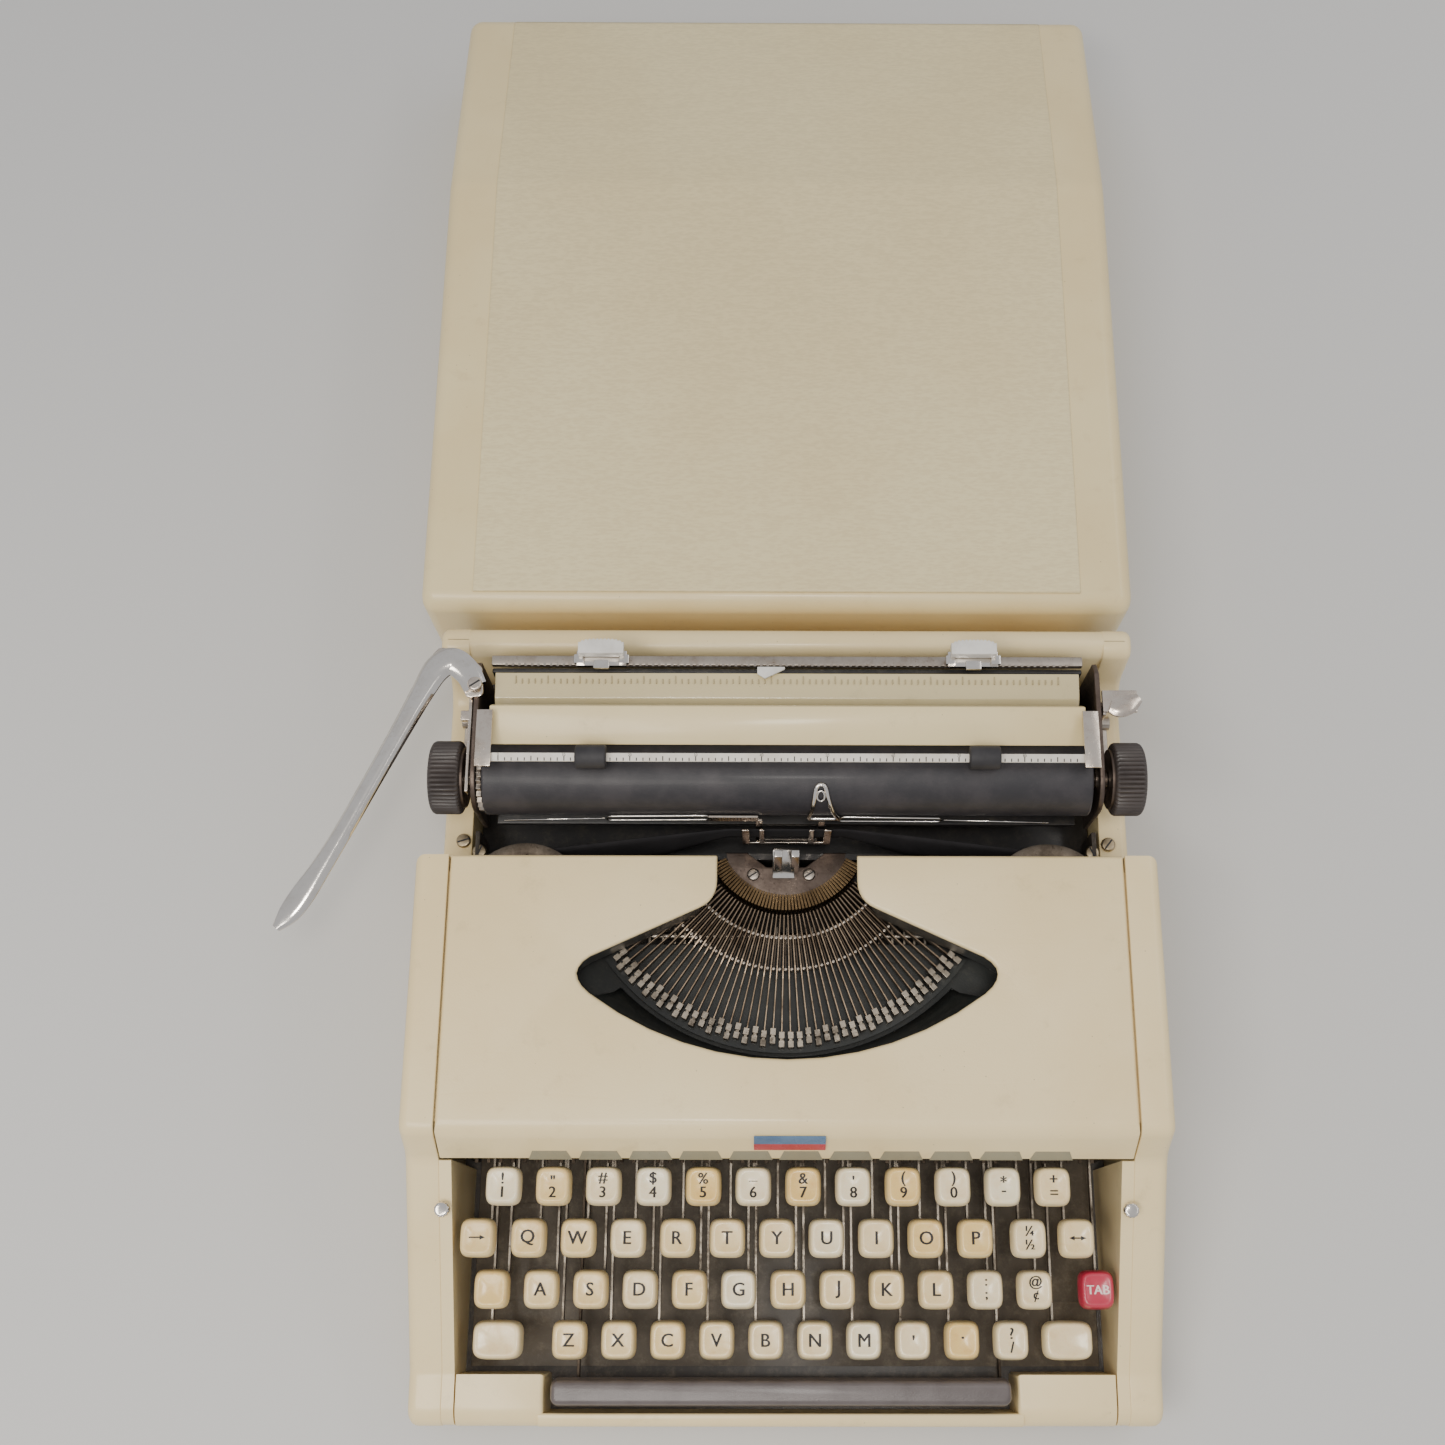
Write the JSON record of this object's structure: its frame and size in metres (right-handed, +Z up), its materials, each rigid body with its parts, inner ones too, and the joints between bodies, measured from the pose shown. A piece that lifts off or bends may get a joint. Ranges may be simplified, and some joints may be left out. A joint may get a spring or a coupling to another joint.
{
  "type": "typewriter",
  "caption": "Portable manual typewriter with a cream shell, ivory keys, open type basket and moving carriage, its carrying lid lying behind it.",
  "frame": {"origin": "middle of the footprint of machine and lid, on the table", "axes": "+X to the typist's right, +Y from the typist to the back (machine, then lid), +Z up"},
  "size_m": [0.3396, 0.64, 0.1165],
  "materials": {
    "cream_paint": "satin, slightly yellowed",
    "sheet_cream": "satin",
    "lid_cream": "moulded with a leather grain panel",
    "key_ivory": "moulded, yellowed",
    "tab_red": "moulded",
    "badge": "gloss",
    "brown_paint": "matt",
    "black_metal": "satin",
    "casting": "dark phosphate",
    "steel": "bare, slightly tarnished",
    "chrome": "bright plate",
    "rubber": "hard, black",
    "knob_plastic": "knurled",
    "grey_plastic": "satin",
    "clear_plastic": "glossy",
    "inked_cloth": "inked"
  },
  "bodies": {
    "base": {"base_pan": "brown_paint", "body_shell": "cream_paint", "foot_front_left": "rubber", "foot_front_right": "rubber", "foot_rear_left": "rubber", "foot_rear_right": "rubber", "latch_stud_left": "chrome", "latch_stud_right": "chrome", "keyboard_plate": "brown_paint", "mechanism_frame": "black_metal", "fulcrum_shaft": "steel", "type_rest": "black_metal", "type_guide": "chrome", "spool_cup_left": "black_metal", "spool_cup_right": "black_metal", "card_holder": "clear_plastic", "carriage_rails": "steel", "ribbon": "inked_cloth"},
    "ribbon_cover": {"ribbon_cover": "cream_paint", "name_badge": "badge"},
    "type_basket": {"type_segment": "casting", "segment_plate": "casting", "typebar_fan": "steel"},
    "carriage": {"carriage_frame": "black_metal", "end_plate_left": "casting", "end_plate_right": "casting", "paper_table": "sheet_cream", "paper_deflector": "cream_paint", "margin_rack": "steel"},
    "platen": {"platen": "rubber", "knob_left": "knob_plastic", "knob_right": "knob_plastic", "ratchet_wheel": "steel"},
    "letter_typebar": {"letter_typebar": "steel"},
    "letter_key": {"letter_key": "key_ivory"},
    "key_row_lower": {"key_row_lower": "key_ivory"},
    "key_row_home": {"key_row_home": "key_ivory"},
    "key_row_upper": {"key_row_upper": "key_ivory"},
    "key_row_number": {"key_row_number": "key_ivory"},
    "margin_release_key": {"margin_release_key": "key_ivory"},
    "backspace_key": {"backspace_key": "key_ivory"},
    "shift_lock_key": {"shift_lock_key": "key_ivory"},
    "tab_key": {"tab_key": "tab_red"},
    "shift_key_left": {"shift_key_left": "key_ivory"},
    "shift_key_right": {"shift_key_right": "key_ivory"},
    "space_bar": {"space_bar": "grey_plastic"},
    "ribbon_vibrator": {"ribbon_vibrator": "steel"},
    "ribbon_spool_left": {"ribbon_spool_left": "steel"},
    "ribbon_spool_right": {"ribbon_spool_right": "steel"},
    "mainspring_drum": {"mainspring_drum": "steel"},
    "paper_bail": {"paper_bail": "chrome"},
    "bail_roller_left": {"bail_roller_left": "rubber"},
    "bail_roller_right": {"bail_roller_right": "rubber"},
    "margin_stop_left": {"margin_stop_left": "chrome"},
    "margin_stop_right": {"margin_stop_right": "chrome"},
    "paper_support": {"paper_support": "clear_plastic"},
    "return_lever": {"return_lever": "chrome"},
    "line_space_selector": {"line_space_selector": "chrome"},
    "carriage_release_lever": {"carriage_release_lever": "chrome"},
    "lid": {"lid": "lid_cream"}
  },
  "joints": [
    {"name": "key_row_lower_press", "type": "hinge", "parent": "base", "child": "key_row_lower", "pos_m": [0.02375, -0.13, 0.034], "axis": [1, 0, 0], "range_deg": [0, 4.34], "stiffness_Nm_per_rad": 3, "springref_deg": -3.44},
    {"name": "key_row_home_press", "type": "hinge", "parent": "base", "child": "key_row_home", "pos_m": [0.02375, -0.13, 0.034], "axis": [1, 0, 0], "range_deg": [0, 4.92], "stiffness_Nm_per_rad": 3, "springref_deg": -3.44},
    {"name": "key_row_upper_press", "type": "hinge", "parent": "base", "child": "key_row_upper", "pos_m": [0.02375, -0.13, 0.034], "axis": [1, 0, 0], "range_deg": [0, 5.68], "stiffness_Nm_per_rad": 3, "springref_deg": -3.44},
    {"name": "key_row_number_press", "type": "hinge", "parent": "base", "child": "key_row_number", "pos_m": [0.02375, -0.13, 0.034], "axis": [1, 0, 0], "range_deg": [0, 6.72], "stiffness_Nm_per_rad": 3, "springref_deg": -3.44},
    {"name": "letter_key_press", "type": "hinge", "parent": "base", "child": "letter_key", "pos_m": [0.02375, -0.13, 0.034], "axis": [1, 0, 0], "range_deg": [0, 4.92], "stiffness_Nm_per_rad": 0.5, "springref_deg": -5.73},
    {"name": "margin_release_key_press", "type": "hinge", "parent": "base", "child": "margin_release_key", "pos_m": [0.02375, -0.13, 0.034], "axis": [1, 0, 0], "range_deg": [0, 5.68], "stiffness_Nm_per_rad": 0.5, "springref_deg": -5.73},
    {"name": "backspace_key_press", "type": "hinge", "parent": "base", "child": "backspace_key", "pos_m": [0.02375, -0.13, 0.034], "axis": [1, 0, 0], "range_deg": [0, 5.68], "stiffness_Nm_per_rad": 0.5, "springref_deg": -5.73},
    {"name": "shift_lock_key_press", "type": "hinge", "parent": "base", "child": "shift_lock_key", "pos_m": [0.02375, -0.13, 0.034], "axis": [1, 0, 0], "range_deg": [0, 4.92], "stiffness_Nm_per_rad": 0.5, "springref_deg": -5.73},
    {"name": "tab_key_press", "type": "hinge", "parent": "base", "child": "tab_key", "pos_m": [0.02375, -0.13, 0.034], "axis": [1, 0, 0], "range_deg": [0, 4.92], "stiffness_Nm_per_rad": 0.5, "springref_deg": -5.73},
    {"name": "shift_key_left_press", "type": "hinge", "parent": "base", "child": "shift_key_left", "pos_m": [0.02375, -0.13, 0.034], "axis": [1, 0, 0], "range_deg": [0, 4.34], "stiffness_Nm_per_rad": 1, "springref_deg": -5.73},
    {"name": "shift_key_right_press", "type": "hinge", "parent": "base", "child": "shift_key_right", "pos_m": [0.02375, -0.13, 0.034], "axis": [1, 0, 0], "range_deg": [0, 4.34]},
    {"name": "space_bar_press", "type": "hinge", "parent": "base", "child": "space_bar", "pos_m": [0.02375, -0.2, 0.0105], "axis": [1, 0, 0], "range_deg": [0, 2.6], "stiffness_Nm_per_rad": 1, "springref_deg": -17.19},
    {"name": "basket_shift", "type": "slide", "parent": "base", "child": "type_basket", "axis": [0, 0, -1], "range_m": [0, 0.005]},
    {"name": "letter_typebar_swing", "type": "hinge", "parent": "type_basket", "child": "letter_typebar", "pos_m": [0.02449, -0.12299, 0.046], "axis": [-0.9998, -0.0211, 0], "range_deg": [0, 114]},
    {"name": "ribbon_vibrator_lift", "type": "slide", "parent": "base", "child": "ribbon_vibrator", "axis": [0, 0, 1], "range_m": [0, 0.012]},
    {"name": "ribbon_spool_left_turn", "type": "hinge", "parent": "base", "child": "ribbon_spool_left", "pos_m": [-0.08025, -0.126, 0.07], "axis": [0, 0, 1], "continuous": true},
    {"name": "ribbon_spool_right_turn", "type": "hinge", "parent": "base", "child": "ribbon_spool_right", "pos_m": [0.12775, -0.126, 0.07], "axis": [0, 0, 1], "continuous": true},
    {"name": "carriage_travel", "type": "slide", "parent": "base", "child": "carriage", "axis": [-1, 0, 0], "range_m": [-0.105, 0.105]},
    {"name": "mainspring_drum_turn", "type": "hinge", "parent": "base", "child": "mainspring_drum", "pos_m": [-0.07225, -0.058, 0.04], "axis": [0, 0, 1], "range_deg": [-405, 405]},
    {"name": "platen_turn", "type": "hinge", "parent": "carriage", "child": "platen", "pos_m": [0.02375, -0.078, 0.092], "axis": [1, 0, 0], "continuous": true},
    {"name": "paper_bail_lift", "type": "hinge", "parent": "carriage", "child": "paper_bail", "pos_m": [0.02375, -0.058, 0.098], "axis": [-1, 0, 0], "range_deg": [0, 40]},
    {"name": "bail_roller_left_roll", "type": "hinge", "parent": "paper_bail", "child": "bail_roller_left", "pos_m": [-0.05225, -0.0751, 0.112], "axis": [1, 0, 0], "continuous": true},
    {"name": "bail_roller_right_roll", "type": "hinge", "parent": "paper_bail", "child": "bail_roller_right", "pos_m": [0.09975, -0.0751, 0.112], "axis": [1, 0, 0], "continuous": true},
    {"name": "margin_stop_left_slide", "type": "slide", "parent": "carriage", "child": "margin_stop_left", "axis": [1, 0, 0], "range_m": [-0.03, 0.045]},
    {"name": "margin_stop_right_slide", "type": "slide", "parent": "carriage", "child": "margin_stop_right", "axis": [1, 0, 0], "range_m": [-0.045, 0.03]},
    {"name": "paper_support_fold", "type": "hinge", "parent": "carriage", "child": "paper_support", "pos_m": [0.01775, -0.035, 0.1028], "axis": [-1, 0, 0], "range_deg": [0, 80]},
    {"name": "return_lever_swing", "type": "hinge", "parent": "carriage", "child": "return_lever", "pos_m": [-0.09885, -0.045, 0.1088], "axis": [0, 0, 1], "range_deg": [0, 22]},
    {"name": "line_space_selector_set", "type": "hinge", "parent": "carriage", "child": "line_space_selector", "pos_m": [-0.10095, -0.048, 0.102], "axis": [1, 0, 0], "range_deg": [-4, 4]},
    {"name": "carriage_release_press", "type": "hinge", "parent": "carriage", "child": "carriage_release_lever", "pos_m": [0.14875, -0.052, 0.09], "axis": [1, 0, 0], "range_deg": [0, 12]},
    {"name": "ribbon_cover_lift_off", "type": "slide", "parent": "base", "child": "ribbon_cover", "axis": [0, 0, 1], "range_m": [0, 0.06]},
    {"name": "lid_lift_off", "type": "slide", "parent": "base", "child": "lid", "axis": [0, 0, 1], "range_m": [0, 0.15]}
  ],
  "couplings": [
    {"joint": "shift_key_right_press", "follows": "shift_key_left_press", "ratio": 1},
    {"joint": "basket_shift", "follows": "shift_key_left_press", "m_per_rad": 0.065877},
    {"joint": "letter_typebar_swing", "follows": "letter_key_press", "ratio": 23.15},
    {"joint": "ribbon_vibrator_lift", "follows": "letter_key_press", "m_per_rad": 0.13963},
    {"joint": "ribbon_spool_right_turn", "follows": "ribbon_spool_left_turn", "ratio": 1},
    {"joint": "mainspring_drum_turn", "follows": "carriage_travel", "rad_per_m": 66.667}
  ]
}
